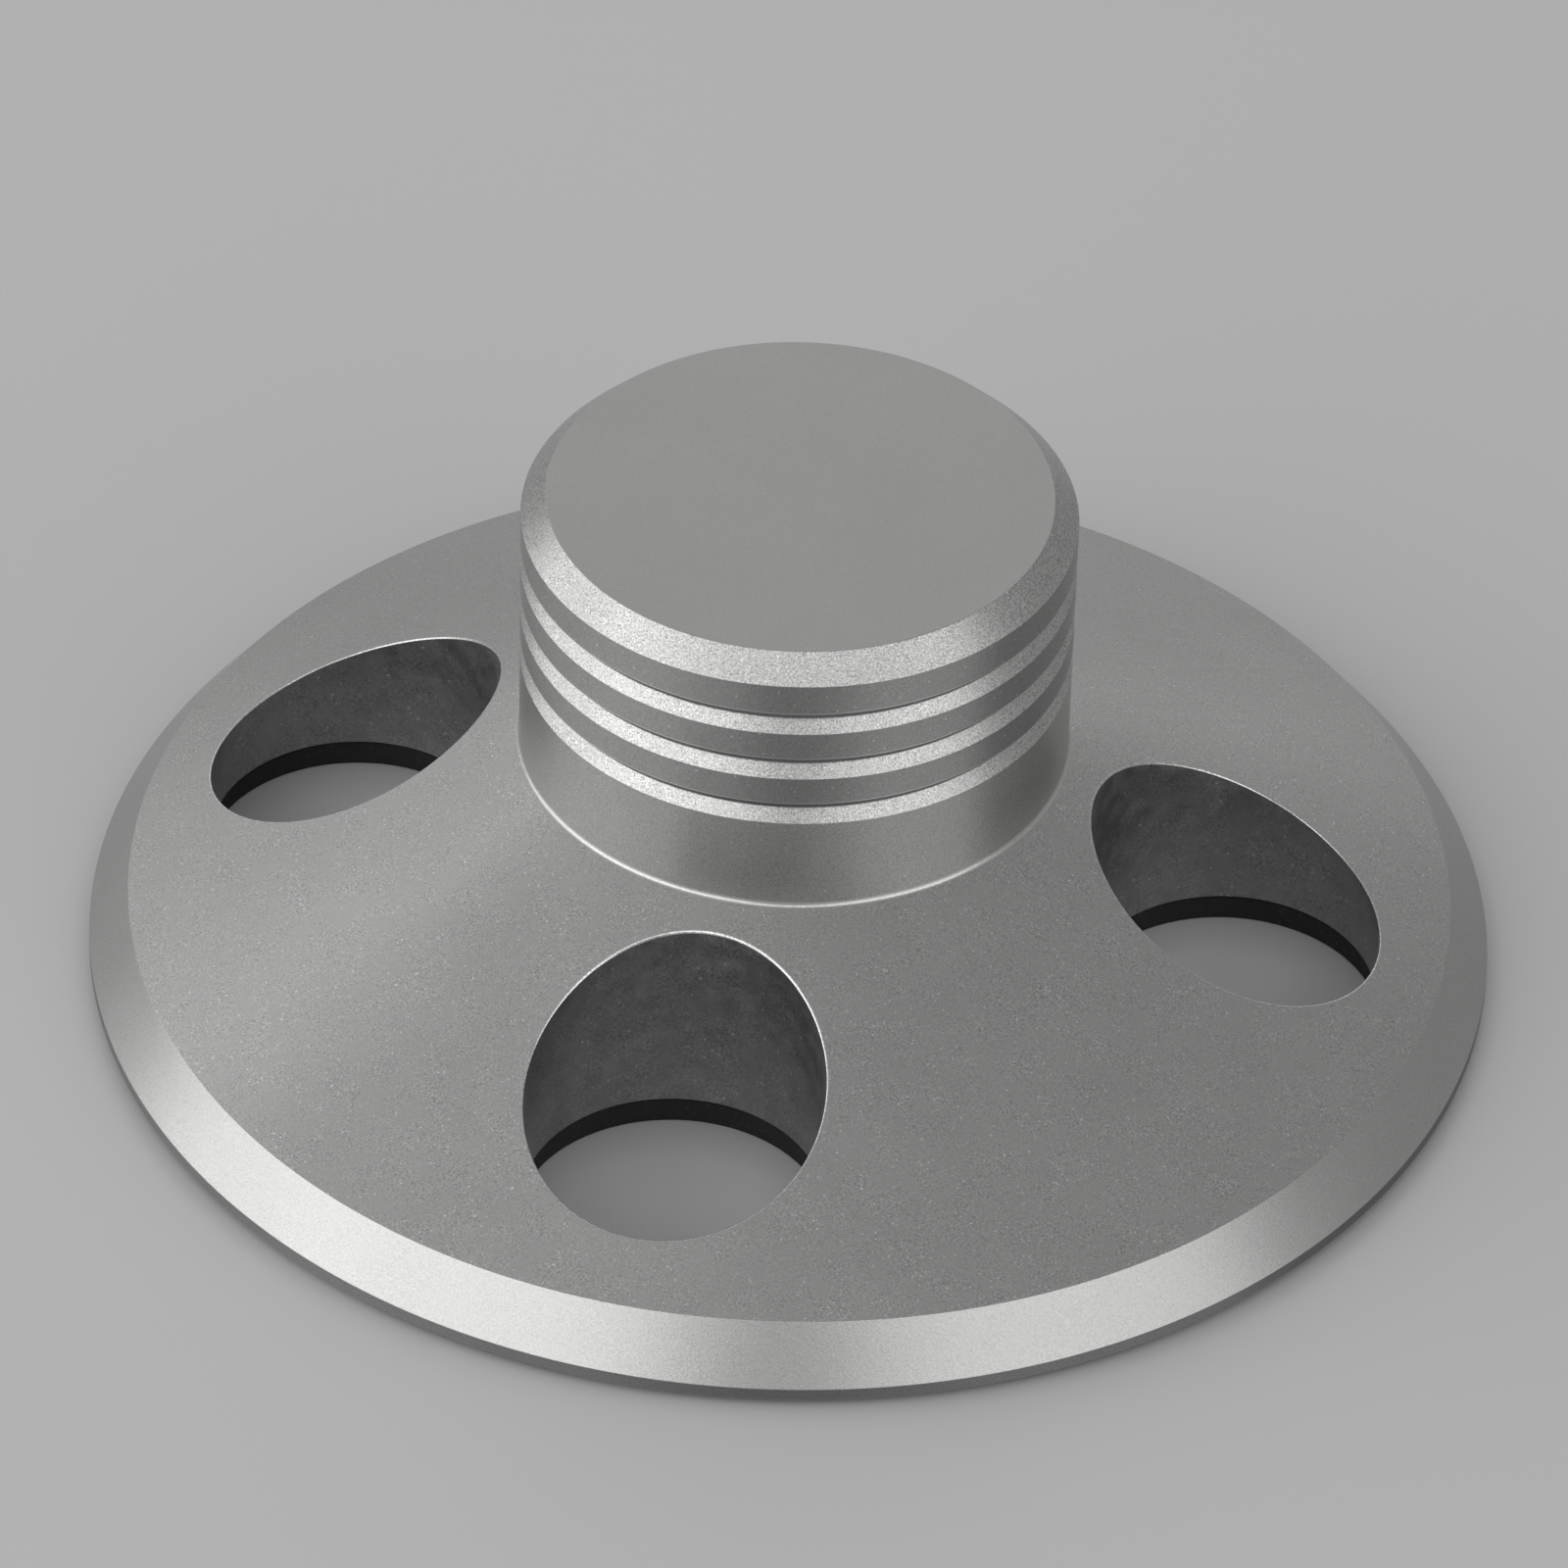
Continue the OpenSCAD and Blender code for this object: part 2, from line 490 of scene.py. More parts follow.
    def groove_corners(self) -> tuple[list[list[float]], list[float], list[Zone]]:
        """Corners of the finger grooves, from the lowest up.

        Returns:
            The corners, their painted light and the zone that ends at each.
        """
        corners, painted_light, zones = [], [], []
        root_r = self.grip_r - self.groove_depth
        for i in reversed(range(self.groove_count)):
            lip = self.z_top - self.top_bevel - self.first_band_h - i * self.groove_pitch
            corners += [
                [self.grip_r, lip - self.groove_root_h - self.groove_flank_h],
                [root_r, lip - self.groove_root_h],
                [root_r, lip],
                [self.grip_r - self.groove_lip_break, lip],
                [self.grip_r, lip + self.groove_lip_break],
            ]
            # Painted shade in the groove's root, painted highlight on its lip
            painted_light += [0.0, SHADED, SHADED, BRIGHT, BRIGHT]
            zones += [Zone.BAND, Zone.BEVEL, Zone.GROOVE, Zone.GROOVE, Zone.GROOVE]
        zones[0] = Zone.FOOT_BAND
        return corners, painted_light, zones

    def grip_profile(self) -> Profile:
        """Outline from the cone, up the grooved grip and in to the middle of the top face.

        Returns:
            The outline.
        """
        start_r = self.grip_r + self.seam_margin
        grooves, groove_light, groove_zones = self.groove_corners()
        corners = [[start_r, self.cone_z(start_r)], [self.grip_r, self.z_foot]] + grooves + [
            [self.grip_r, self.z_top - self.top_bevel],
            [self.grip_r - self.top_bevel, self.z_top],
            [0, self.z_top],
        ]
        small = self.edge_rounding
        groove_rounding = [small, small, small, small, self.lip_rounding] * self.groove_count
        rounding = [0, self.foot_fillet] + groove_rounding + [small, small, 0]
        # Painted highlight on the foot fillet
        painted_light = [0.0, self.foot_highlight] + groove_light + [0.0, 0.0, 0.0]
        zone = [Zone.CONE] + groove_zones + [Zone.BAND, Zone.BEVEL, Zone.TOP]
        return Profile(np.array(corners), np.array(rounding), np.array(painted_light), np.array(zone))

    def ring(self, inner_r: float, outer_r: float, opening_r: float) -> PiercedRing:
        """Pierced ring whose borders lie one seam margin inside two radii.

        Args:
            inner_r: Radius inside the inner border.
            outer_r: Radius outside the outer border.
            opening_r: Radius of each opening.

        Returns:
            The ring.
        """
        inner, outer = inner_r + self.seam_margin, outer_r - self.seam_margin
        return PiercedRing(inner, outer, opening_r, self.circle_r, self.opening_count, self.segments)

    def openings(self) -> list[Surface]:
        """Cone, opening edges, opening walls and recess ceiling, sector by sector.

        The cone's patch is as high at each point as the cone is at its radius.

        Returns:
            The surfaces of every sector.
        """
        edge_r = self.opening_r + self.opening_bevel + self.support
        top = self.ring(self.grip_r, self.cone_edge_r, edge_r)
        ceiling = self.ring(self.mouth_r, self.recess_r, self.opening_r)
        angles = top.ray_angles()
        flat = top.sector(angles, self.cone_steps)
        cone = lifted(flat, self.cone_z(np.hypot(flat[..., 0], flat[..., 1])))
        under = lifted(ceiling.sector(angles, self.ceiling_steps), self.z_recess)
        return (
            top.spread(cone, True, Zone.CONE)
            + self.wall_patches(top, angles)
            + ceiling.spread(under, False, Zone.UNDERSIDE)
        )

    def wall_patches(self, ring: PiercedRing, angles: Array) -> list[Surface]:
        """Rounded edge and straight wall of each opening, from the cone down to the recess.

        The edge at share t of a quarter turn lies at the opening's radius plus the bevel times
        (1 - sin t), and below the cone there by the bevel times (1 - cos t). The wall drops
        straight from the edge to the ceiling of the recess. One more ring of points close to
        each end of the edge and of the wall holds the surfaces beside them flat.

        Args:
            ring: The cone's ring.
            angles: Angle of each edge point round the opening.

        Returns:
            One surface for each opening.
        """
        quarter = np.linspace(0, np.pi / 2, self.edge_steps + 1)
        radius = self.opening_r + self.opening_bevel * (1 - np.sin(quarter))
        below = self.opening_bevel * (1 - np.cos(quarter))
        flat = circles(self.circle_r, np.append(radius[0] + self.support, radius), angles)
        z = self.cone_z(np.hypot(flat[..., 0], flat[..., 1])) - np.append(0, below)[:, None]
        drop = z[-1] - self.z_recess - 2 * self.support
        share = np.linspace(0, 1, self.wall_steps + 1)[:, None]
        end = np.full((1, len(angles)), self.z_recess)
        wall_z = np.concatenate([z[-1] - self.support - drop * share, end])
        wall = lifted(np.broadcast_to(flat[-1], wall_z.shape + (2,)), wall_z)
        points = np.concatenate([lifted(flat, z), wall])
        zone = np.full(len(points) - 1, Zone.WALL)
        zone[0] = Zone.CONE
        zone[1 : self.edge_steps + 1] = Zone.OPENING_EDGE
        return ring.spread(points, False, zone)

    def build(self, finishes: list[Material]) -> Object:
        """Builds the metal and dresses each of its zones.

        Args:
            finishes: One material for each zone, in the order of their values.

        Returns:
            The object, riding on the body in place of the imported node.
        """
        turned = [self.bore_profile(), self.rim_profile(), self.grip_profile()]
        surfaces = [profile.turned(self.segments) for profile in turned] + self.openings()
        piece = placed(joined_mesh("metal_body", surfaces), finishes)
        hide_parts("weight_body")
        return piece


@dataclass
class BasePad:
    """Black pad in the recess, with a hole in line with each opening and one for the spindle.

    Args:
        body: The metal, which sets the place and size of the openings.
    """

    body: WeightBody
    hole_gap: float = 0.3 * MM
    spindle_hole_r: float = 4.5 * MM
    edge_rounding: float = 0.15 * MM
    face_steps: int = 5
    edge_steps: int = 4

    def __post_init__(self) -> None:
        """Reads the pad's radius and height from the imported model."""
        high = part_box("base_pad")[1]
        self.pad_r = high.x
        self.height = high.z

    def border_profiles(self) -> list[Profile]:
        """Outlines of the two walls that run round the axis.

        Returns:
            The outer wall's, going up, and the spindle hole's, going down.
        """
        inner = self.pad_r - self.body.seam_margin
        outer = [[inner, 0], [self.pad_r, 0], [self.pad_r, self.height], [inner, self.height]]
        hole = self.spindle_hole_r
        beside = hole + self.body.seam_margin
        centre = [[beside, self.height], [hole, self.height], [hole, 0], [beside, 0]]
        rounding = np.array([0, self.edge_rounding, self.edge_rounding, 0])
        plain = np.full(len(rounding) - 1, PLAIN_ZONE)
        return [
            Profile(np.array(corners), rounding, np.zeros(len(rounding)), plain)
            for corners in (outer, centre)
        ]

    def pierced(self) -> list[Surface]:
        """Upper and lower faces and the walls of the holes under the openings.

        The wall's outline is a quarter round at the top and one at the bottom, with a straight
        stretch between them at the hole's radius.

        Returns:
            The surfaces of every sector.
        """
        soft = self.edge_rounding
        hole_r = self.body.opening_r + self.hole_gap
        ring = self.body.ring(self.spindle_hole_r, self.pad_r, hole_r + soft)
        angles = ring.ray_angles()
        flat = ring.sector(angles, self.face_steps)
        quarter = np.linspace(0, np.pi / 2, self.edge_steps + 1)
        inset = soft * (1 - np.sin(quarter))
        drop = soft * (1 - np.cos(quarter))
        radius = hole_r + np.concatenate([inset, inset[::-1]])
        height = np.concatenate([self.height - drop, drop[::-1]])
        wall = lifted(circles(self.body.circle_r, radius, angles), height[:, None])
        return (
            ring.spread(lifted(flat, self.height), True, PLAIN_ZONE)
            + ring.spread(wall, False, PLAIN_ZONE)
            + ring.spread(lifted(flat, 0.0), False, PLAIN_ZONE)
        )

    def build(self, finish: Material) -> Object:
        """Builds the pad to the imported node's radius and height.

        Args:
            finish: The pad's material.

        Returns:
            The object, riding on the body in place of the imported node.
        """
        surfaces = [profile.turned(self.body.segments) for profile in self.border_profiles()]
        piece = placed(joined_mesh("rubber_pad", surfaces + self.pierced()), [finish])
        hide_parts("base_pad")
        return piece


def added(name: str, data: bpy.types.ID) -> Object:
    """New object in the scene.

    Args:
        name: Name of the object.
        data: The mesh, light or camera that it shows.

    Returns:
        The object.
    """
    thing = bpy.data.objects.new(name, data)
    bpy.context.scene.collection.objects.link(thing)
    return thing


def placed(mesh: bpy.types.Mesh, finishes: list[Material]) -> Object:
    """Puts a mesh into the scene with its materials, riding on the one body.

    Args:
        mesh: The mesh, in the row frame.
        finishes: Its materials, in the order of their slots.

    Returns:
        The new object, at the origin and unturned.
    """
    piece = added(mesh.name, mesh)
    for finish in finishes:
        mesh.materials.append(finish)
    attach(piece, "root")
    return piece


class GroupBuilder:
    """A shader node group under construction, with named sockets."""

    def __init__(self, name: str, inputs: list[str], outputs: list[str]) -> None:
        """Makes the group with its sockets and its two ends.

        Args:
            name: The group's name.
            inputs: Names of the inputs.
            outputs: Names of the outputs.
        """
        self.tree = bpy.data.node_groups.new(name, "ShaderNodeTree")
        for way, names in (("INPUT", inputs), ("OUTPUT", outputs)):
            for socket in names:
                kind = SOCKET_KINDS.get(socket, "NodeSocketFloat")
                self.tree.interface.new_socket(name=socket, in_out=way, socket_type=kind)
        self.start = self.tree.nodes.new("NodeGroupInput")
        self.end = self.tree.nodes.new("NodeGroupOutput")

    def given(self, name: str) -> Socket:
        """Socket that brings an input into the group."""
        return self.start.outputs[name]

    def finished(self, values: dict[str, Socket]) -> Tree:
        """The group, once it sends out the value of each output."""
        feed(self.tree, self.end, values)
        return self.tree


def feed(tree: Tree, node: bpy.types.Node, inputs: dict[str | int, object]) -> None:
    """Sets or links a node's inputs.

    Args:
        tree: Tree that holds the node.
        node: The node.
        inputs: Input names or places, each with a value or with the socket that feeds it.
    """
    for name, value in inputs.items():
        if isinstance(value, Socket):
            tree.links.new(value, node.inputs[name])
        else:
            node.inputs[name].default_value = value


def add_node(
    tree: Tree,
    kind: str,
    settings: dict[str, object] | None = None,
    inputs: dict[str | int, object] | None = None,
) -> bpy.types.NodeOutputs:
    """Adds a node, sets its properties and feeds its inputs.

    Args:
        tree: Tree that takes the node.
        kind: Blender's node type, without the ShaderNode before it.
        settings: Property names and values.
        inputs: What feed() takes.

    Returns:
        The node's outputs.
    """
    node = tree.nodes.new("ShaderNode" + kind)
    for name, value in (settings or {}).items():
        setattr(node, name, value)
    feed(tree, node, inputs or {})
    return node.outputs


def math_node(tree: Tree, operation: str, first: object, second: object) -> Socket:
    """Result of a Math node on two values or sockets."""
    inputs = {0: first, 1: second}
    return add_node(tree, "Math", {"operation": operation}, inputs)["Value"]


def mixed(tree: Tree, kind: str, share: Socket, first: object, second: object) -> Socket:
    """Value or colour that goes from one to another as the share goes from 0 to 1.

    Args:
        tree: Tree that takes the node.
        kind: What is mixed, FLOAT or RGBA.
        share: Share of the second.
        first: The first value or colour.
        second: The second.

    Returns:
        The mixed value or colour.
    """
    start, end, result = MIX_PLACES[kind]
    inputs = {"Factor": share, start: first, end: second}
    return add_node(tree, "Mix", {"data_type": kind}, inputs)[result]


def scaled_color(tree: Tree, color: Socket, factor: Socket) -> Socket:
    """Colour times a factor."""
    inputs = {0: color, "Scale": factor}
    return add_node(tree, "VectorMath", {"operation": "SCALE"}, inputs)["Vector"]


def noise_node(tree: Tree, place: Socket, per_metre: Socket, detail: float, roughness: float) -> Socket:
    """Noise from 0 to 1 on points times a scale."""
    inputs = {"Vector": place, "Scale": per_metre, "Detail": detail, "Roughness": roughness}
    return add_node(tree, "TexNoise", inputs=inputs)["Fac"]


def around_one(tree: Tree, noise: Socket, reach: float, amount: Socket) -> Socket:
    """Noise mapped from its middle, give or take a reach, to 1, give or take an amount.

    Args:
        tree: Tree that takes the nodes.
        noise: The noise.
        reach: Distance from the noise's middle at which the amount is reached.
        amount: Distance from 1 that is reached there.

    Returns:
        The mapped noise.
    """
    inputs = {
        "Value": noise,
        "From Min": NOISE_MIDDLE - reach,
        "From Max": NOISE_MIDDLE + reach,
        "To Min": math_node(tree, "SUBTRACT", 1.0, amount),
        "To Max": math_node(tree, "ADD", 1.0, amount),
    }
    return add_node(tree, "MapRange", inputs=inputs)["Result"]


def bump_node(tree: Tree, height: Socket, depth: float) -> Socket:
    """Normal of a surface whose height swings by a depth."""
    inputs = {"Strength": 1.0, "Distance": depth, "Height": height}
    return add_node(tree, "Bump", inputs=inputs)["Normal"]


def blast_grain_group() -> Tree:
    """Group for a grain, such as the dimples that glass beads leave, and its specks.

    On the metal, a speck is a painted glint.

    The height is fine noise on points scaled by one over the grain's size. Slow noise over the
    patch's size makes the grain come and go: its strength lies as far as the patch depth to
    either side of 1. The tone is 1 plus the contrast times that strength times the height's
    distance from its middle. A speck is a cell of the grain's size whose random value lies
    above a limit, and it fades from the cell's middle outwards.

    Returns:
        The group.
    """
    inputs = ["Vector", "Grain Size", "Patch Size", "Patch Depth", "Contrast", "Glint And Dust Share"]
    group = GroupBuilder("blast_grain", inputs, ["Height", "Tone", "Glint And Dust"])
    tree, place = group.tree, group.given("Vector")
    grains_per_metre = math_node(tree, "DIVIDE", 1.0, group.given("Grain Size"))
    patches_per_metre = math_node(tree, "DIVIDE", 1.0, group.given("Patch Size"))
    height = noise_node(tree, place, grains_per_metre, detail=1.0, roughness=0.6)
    patch = noise_node(tree, place, patches_per_metre, detail=3.0, roughness=0.5)
    strength = around_one(tree, patch, PATCH_REACH, group.given("Patch Depth"))
    contrast = math_node(tree, "MULTIPLY", strength, group.given("Contrast"))
    off_middle = math_node(tree, "SUBTRACT", height, NOISE_MIDDLE)
    swing = math_node(tree, "MULTIPLY", off_middle, contrast)
    cells = add_node(tree, "TexVoronoi", inputs={"Vector": place, "Scale": grains_per_metre})
    pick = add_node(tree, "SeparateColor", inputs={"Color": cells["Color"]})
    share = math_node(tree, "MULTIPLY", strength, group.given("Glint And Dust Share"))
    limit = math_node(tree, "SUBTRACT", 1.0, share)
    lit = math_node(tree, "GREATER_THAN", pick["Red"], limit)
    fade = math_node(tree, "SUBTRACT", 1.0, cells["Distance"])
    tone = math_node(tree, "ADD", swing, 1.0)
    # A speck lifts the colour; on the metal it is a painted glint
    glint_and_dust = math_node(tree, "MULTIPLY", lit, fade)
    return group.finished({"Height": height, "Tone": tone, "Glint And Dust": glint_and_dust})


def cloud_group() -> Tree:
    """Group for the faint clouds that anodising and handling leave.

    The factor is slow noise, spread evenly round 1 by the amount.

    Returns:
        The group.
    """
    group = GroupBuilder("handling_cloud", ["Vector", "Cloud Size", "Amount"], ["Factor"])
    per_metre = math_node(group.tree, "DIVIDE", 1.0, group.given("Cloud Size"))
    noise = noise_node(group.tree, group.given("Vector"), per_metre, detail=3.0, roughness=0.55)
    factor = around_one(group.tree, noise, CLOUD_REACH, group.given("Amount"))
    return group.finished({"Factor": factor})


def edge_light_group() -> Tree:
    """Group for painted highlights on outer edges and for painted shade in hollows.

    The piece's own painted light says where. Above 0 it mixes the colour and the roughness
    towards those of the edge highlight. Below 0 it darkens the colour with painted shade, by
    the hollow's shade at -1.

    Returns:
        The group.
    """
    inputs = ["Color", "Roughness", "Edge Highlight Color", "Edge Roughness"]
    group = GroupBuilder("painted_edge_light", inputs, ["Color", "Roughness"])
    tree = group.tree
    painted_light = add_node(tree, "Attribute", {"attribute_name": PAINTED_LIGHT_ATTRIBUTE})["Fac"]
    bright = math_node(tree, "MAXIMUM", painted_light, 0.0)
    # Painted shade darkens the colour in the hollows
    hollow_shade = math_node(tree, "MULTIPLY", math_node(tree, "MINIMUM", painted_light, 0.0), HOLLOW_SHADE)
    color = mixed(tree, "RGBA", bright, group.given("Color"), group.given("Edge Highlight Color"))
    rough = mixed(tree, "FLOAT", bright, group.given("Roughness"), group.given("Edge Roughness"))
    dimmed = scaled_color(tree, color, math_node(tree, "ADD", hollow_shade, 1.0))
    return group.finished({"Color": dimmed, "Roughness": rough})


@dataclass(frozen=True)
class EffectGroups:
    """The node groups that the finishes share."""

    grain: Tree
    cloud: Tree
    edge: Tree


def new_material(name: str) -> tuple[Material, Tree, bpy.types.Node]:
    """Material with an empty Principled BSDF.

    Args:
        name: The material's name.

    Returns:
        The material, its tree and its shader.
    """
    material = bpy.data.materials.new(name)
    material.use_nodes = True
    tree = material.node_tree
    return material, tree, tree.nodes["Principled BSDF"]


@dataclass(frozen=True)
class GrainedFinish:
    """Finish with a grain that comes and goes in patches, with specks and with faint clouds.

    The sizes and shares given here are the blasted metal's.

    Args:
        name: The material's name.
        color: Colour between the specks.
        roughness: Mean roughness.
        grain_size: Width of a grain or dimple.
        grain_depth: Depth of a grain or dimple.
        grain_contrast: How far the tone swings with the height.
        patch_size: Width of the patches in which the grain comes and goes.
        patch_depth: How far the grain's strength swings from patch to patch.
        glint_and_dust_share: Share of the grains that carry a speck; on the metal, a painted glint.
        glint_and_dust_color: Colour of a speck at its middle.
        cloud_size: Width of the faint clouds.
        cloud_amount: How far the clouds reach either side of the mean.
    """

    name: str
    color: Color = (0.397, 0.396, 0.392)
    roughness: float = 0.34
    grain_size: float = 0.11 * MM
    grain_depth: float = 0.006 * MM
    grain_contrast: float = 0.5
    patch_size: float = 1.5 * MM
    patch_depth: float = 0.3
    glint_and_dust_share: float = 0.015
    glint_and_dust_color: Color = (0.645, 0.644, 0.638)
    cloud_size: float = 7 * MM
    cloud_amount: float = 0.03

    def build(self, groups: EffectGroups) -> Material:
        """Builds the material from the shared groups.

        Args:
            groups: The shared node groups.

        Returns:
            The material.
        """
        material, tree, shader = new_material(self.name)
        place = add_node(tree, "TexCoord")["Object"]
        grain_inputs = {
            "Vector": place,
            "Grain Size": self.grain_size,
            "Patch Size": self.patch_size,
            "Patch Depth": self.patch_depth,
            "Contrast": self.grain_contrast,
            "Glint And Dust Share": self.glint_and_dust_share,
        }
        cloud_inputs = {"Vector": place, "Cloud Size": self.cloud_size, "Amount": self.cloud_amount}
        grain = add_node(tree, "Group", {"node_tree": groups.grain}, grain_inputs)
        cloud = add_node(tree, "Group", {"node_tree": groups.cloud}, cloud_inputs)["Factor"]
        # Lighter specks mixed into the base colour, which on the metal are painted glints
        color, glint_and_dust_color = (*self.color, 1.0), (*self.glint_and_dust_color, 1.0)
        look = {
            "Base Color": mixed(tree, "RGBA", grain["Glint And Dust"], color, glint_and_dust_color),
            "Roughness": math_node(tree, "MULTIPLY", cloud, self.roughness),
            "Normal": bump_node(tree, grain["Height"], self.grain_depth),
        }
        self.finish_look(look, tree, groups, place, (cloud, grain["Tone"]))
        feed(tree, shader, look)
        return material

    def finish_look(
        self, look: Look, tree: Tree, groups: EffectGroups, place: Socket, tones: tuple[Socket, Socket]
    ) -> None:
        """Leaves the look as it is. A finish with more to it changes the look here."""


@dataclass(frozen=True)
class BlastedMetal(GrainedFinish):
    """Aluminium, bead blasted and clear anodised.

    Args:
        edge_highlight_color: Colour of the painted highlight on an outer edge.
        edge_roughness: Roughness on an outer edge.
        turning: How far marks that run round the Z axis spread the light along that axis.
    """

    edge_highlight_color: Color = (0.567, 0.566, 0.56)
    edge_roughness: float = 0.3
    turning: float = 0.0

    def finish_look(
        self, look: Look, tree: Tree, groups: EffectGroups, place: Socket, tones: tuple[Socket, Socket]
    ) -> None:
        """Makes the look metallic, with its tone, its painted edge highlights and hollow shade, and
        its turning marks.

        The marks run along the Z axis crossed with the place, and the light spreads a quarter
        turn from them.

        Args:
            look: What feeds each input of the shader. It is changed.
            tree: The material's tree.
            groups: The shared node groups.
            place: The surface's place in the object.
            tones: Factors of the colour from the clouds and from the grain.
        """
        tone = math_node(tree, "MULTIPLY", *tones)
        # Painted highlight on outer edges and painted shade in hollows
        edge_inputs = {
            "Color": scaled_color(tree, look["Base Color"], tone),
            "Roughness": look["Roughness"],
            "Edge Highlight Color": (*self.edge_highlight_color, 1.0),
            "Edge Roughness": self.edge_roughness,
        }
        edge = add_node(tree, "Group", {"node_tree": groups.edge}, edge_inputs)
        look |= {"Base Color": edge["Color"], "Roughness": edge["Roughness"], "Metallic": 1.0}
        if self.turning > 0:
            axes = {0: (0.0, 0.0, 1.0), 1: place}
            marks = add_node(tree, "VectorMath", {"operation": "CROSS_PRODUCT"}, axes)
            look["Tangent"] = marks["Vector"]
            look["Anisotropic"] = self.turning
            look["Anisotropic Rotation"] = QUARTER_TURN


def rubber_finish(groups: EffectGroups) -> Material:
    """Matte black rubber with a fine grain and sparse lighter specks.

    Args:
        groups: The shared node groups.

    Returns:
        The material.
    """
    rubber = GrainedFinish(
        "black_rubber",
        color=(0.011, 0.011, 0.0115),
        roughness=0.8,
        grain_size=0.2 * MM,
        grain_depth=0.02 * MM,
        patch_depth=0.4,
        glint_and_dust_share=0.08,
        glint_and_dust_color=(0.03, 0.03, 0.03),
        cloud_size=4 * MM,
        cloud_amount=0.1,
    )
    return rubber.build(groups)


def metal_finishes(groups: EffectGroups) -> list[Material]:
    """Materials of the metal.

    Args:
        groups: The shared node groups.

    Returns:
        One material for each zone, in the order of their values.
    """
    # Each speck share below is that zone's share of painted glints
    turned = partial(BlastedMetal, roughness=0.42, grain_contrast=0.8, glint_and_dust_share=0.004, turning=0.95)
    finishes = {
        Zone.CONE: BlastedMetal("blasted_cone", grain_contrast=0.9, patch_depth=0.7, glint_and_dust_share=0.018),
        Zone.TOP: BlastedMetal("blasted_top", grain_contrast=0.2, glint_and_dust_share=0.0),
        Zone.BEVEL: BlastedMetal("blasted_bevel", grain_size=0.09 * MM, grain_contrast=2.0),
        Zone.RIM_BEVEL: BlastedMetal("blasted_rim_bevel", glint_and_dust_share=0.0),
        # Darker colour: painted shade on the grip's bands
        Zone.BAND: turned("turned_band_shaded", color=(0.3, 0.299, 0.295)),
        # Darker colour: painted shade on the rim's wall
        Zone.RIM_WALL: turned(
            "turned_rim_wall_shaded", color=(0.215, 0.2145, 0.212), grain_contrast=0.5, glint_and_dust_share=0.0
        ),
        # Darker colour: painted shade on the openings' walls
        Zone.WALL: BlastedMetal(
            "blasted_wall_shaded",
            color=(0.318, 0.317, 0.314),
            roughness=0.4,
            grain_size=0.15 * MM,
            patch_depth=0.9,
            grain_contrast=0.8,
            glint_and_dust_share=0.008,
            cloud_size=1.2 * MM,
            cloud_amount=0.14,
        ),
        Zone.UNDERSIDE: BlastedMetal("machined_underside", roughness=0.3, glint_and_dust_share=0.0),
        # Lighter colour: painted highlight on the openings' edges
        Zone.OPENING_EDGE: BlastedMetal(
            "cut_edge_highlight", color=(0.54, 0.539, 0.534), roughness=0.25, grain_contrast=1.5, glint_and_dust_share=0.0
        ),
        Zone.GROOVE: BlastedMetal("blasted_groove", grain_contrast=0.8, glint_and_dust_share=0.004),
        # Lighter colour: painted sheen on the band above the foot
        Zone.FOOT_BAND: turned(
            "turned_foot_band_sheen", color=(0.43, 0.428, 0.42), roughness=0.38, turning=0.7
        ),
    }
    return [finishes[zone].build(groups) for zone in Zone]


@dataclass(frozen=True)
class SoftLight:
    """Large soft light with four straight sides, turned to face the weight.

    Args:
        name: The light's name.
        azimuth: Direction from the weight in degrees, measured from the camera's to the right.
        elevation: Height above the floor in degrees.
        width: Width of its face.
        height: Height of its face.
        radiance: Brightness of its face.
        distance: Distance from the weight.
    """

    name: str
    azimuth: float
    elevation: float
    width: float
    height: float
    radiance: float
    distance: float = 1.0

    def build(self, camera_azimuth: float) -> None:
        """Adds the light.

        A flat light's power is its brightness times its area times pi.

        Args:
            camera_azimuth: Azimuth of the camera in degrees.
        """
        lamp = bpy.data.lights.new(self.name, "AREA")
        lamp.shape = "RECTANGLE"
        lamp.size = self.width
        lamp.size_y = self.height
        lamp.energy = self.radiance * self.width * self.height * math.pi
        light = added(self.name, lamp)
        away = direction(camera_azimuth + self.azimuth, self.elevation)
        right, up = level_axes(-away)
        light.location = away * self.distance
        light.rotation_euler = axes_matrix(right, up, -away).to_euler()
        light.visible_camera = False


def direction(azimuth: float, elevation: float) -> Array:
    """Unit vector of an azimuth and an elevation in degrees."""
    a, e = math.radians(azimuth), math.radians(elevation)
    return np.array([math.cos(e) * math.cos(a), math.cos(e) * math.sin(a), math.sin(e)])


def level_axes(forward: Array) -> tuple[Array, Array]:
    """Right and up of a level view.

    Args:
        forward: Direction of the view.

    Returns:
        Two unit vectors.
    """
    right = np.cross(forward, [0.0, 0.0, 1.0])
    right /= np.linalg.norm(right)
    return right, np.cross(right, forward)


def axes_matrix(right: Array, up: Array, forward: Array) -> Matrix:
    """Matrix of the turn whose X is right, whose Y is up and whose -Z is forward."""
    return Matrix(np.stack([right, up, -forward], axis=1).tolist()).to_4x4()


def turned_about(axis: Array, angle: float, vector: Array) -> Array:
    """A vector turned about an axis, as the right hand's fingers curl.

    Args:
        axis: Unit vector of the axis.
        angle: Angle of the turn.
        vector: The vector before the turn.

    Returns:
        The vector after it.
    """
    return (
        vector * math.cos(angle)
        + np.cross(axis, vector) * math.sin(angle)
        + axis * (axis @ vector) * (1 - math.cos(angle))
    )


